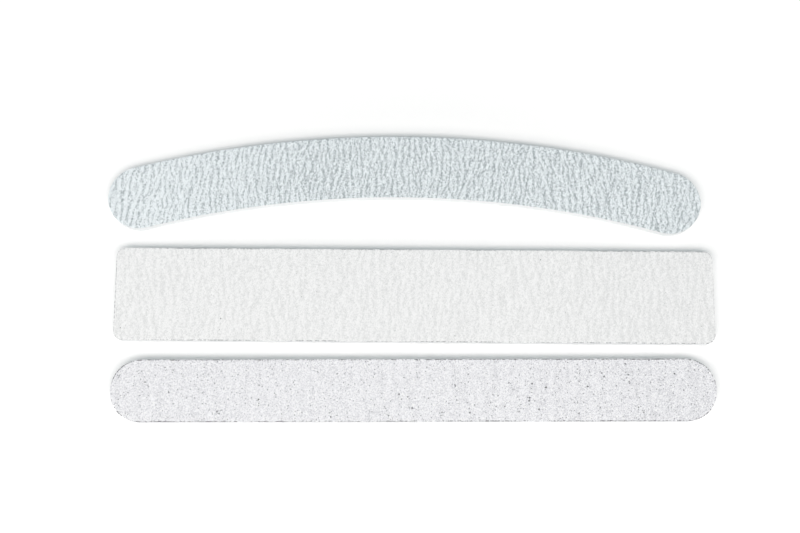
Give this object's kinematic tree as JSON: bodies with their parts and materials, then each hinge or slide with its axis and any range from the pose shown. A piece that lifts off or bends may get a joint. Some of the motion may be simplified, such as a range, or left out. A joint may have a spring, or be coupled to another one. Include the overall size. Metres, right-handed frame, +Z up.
{
  "type": "emery board set",
  "caption": "Flat cushioned nail boards with abrasive on both faces over foam and a stiff core: a wide one with rounded corners, a straight one with round ends and a curved one.",
  "frame": {"origin": "middle of the wide board's underside, on the surface that the boards lie on", "axes": "+X along the wide board, +Y across it towards the curved board, +Z up through the boards"},
  "size_m": [0.1814, 0.087, 0.004],
  "materials": {
    "wide_grit": "fine abrasive grain, off-white, with faint cross streaks",
    "straight_grit": "fine abrasive grain, light grey with dark specks",
    "curved_grit": "coarse abrasive coat in wavy cross ridges, blue grey",
    "paper": "matte backing paper",
    "film": "clear to cream adhesive film",
    "foam": "white closed-cell foam, cut edge",
    "core": "white stiff plastic sheet, cut edge"
  },
  "bodies": {
    "wide_board": {"wide_lower_grit": "wide_grit", "wide_lower_paper": "paper", "wide_lower_outer_film": "film", "wide_lower_foam": "foam", "wide_lower_inner_film": "film", "wide_core": "core", "wide_upper_inner_film": "film", "wide_upper_foam": "foam", "wide_upper_outer_film": "film", "wide_upper_paper": "paper", "wide_upper_grit": "wide_grit"},
    "straight_board": {"straight_lower_grit": "straight_grit", "straight_lower_paper": "paper", "straight_lower_outer_film": "film", "straight_lower_foam": "foam", "straight_lower_inner_film": "film", "straight_core": "core", "straight_upper_inner_film": "film", "straight_upper_foam": "foam", "straight_upper_outer_film": "film", "straight_upper_paper": "paper", "straight_upper_grit": "straight_grit"},
    "curved_board": {"curved_lower_grit": "curved_grit", "curved_lower_paper": "paper", "curved_lower_outer_film": "film", "curved_lower_foam": "foam", "curved_lower_inner_film": "film", "curved_core": "core", "curved_upper_inner_film": "film", "curved_upper_foam": "foam", "curved_upper_outer_film": "film", "curved_upper_paper": "paper", "curved_upper_grit": "curved_grit"}
  },
  "joints": [
    {"name": "straight_board_lift", "type": "slide", "parent": "wide_board", "child": "straight_board", "axis": [0, 0, 1], "range_m": [0, 0.05]},
    {"name": "curved_board_lift", "type": "slide", "parent": "wide_board", "child": "curved_board", "axis": [0, 0, 1], "range_m": [0, 0.05]}
  ]
}
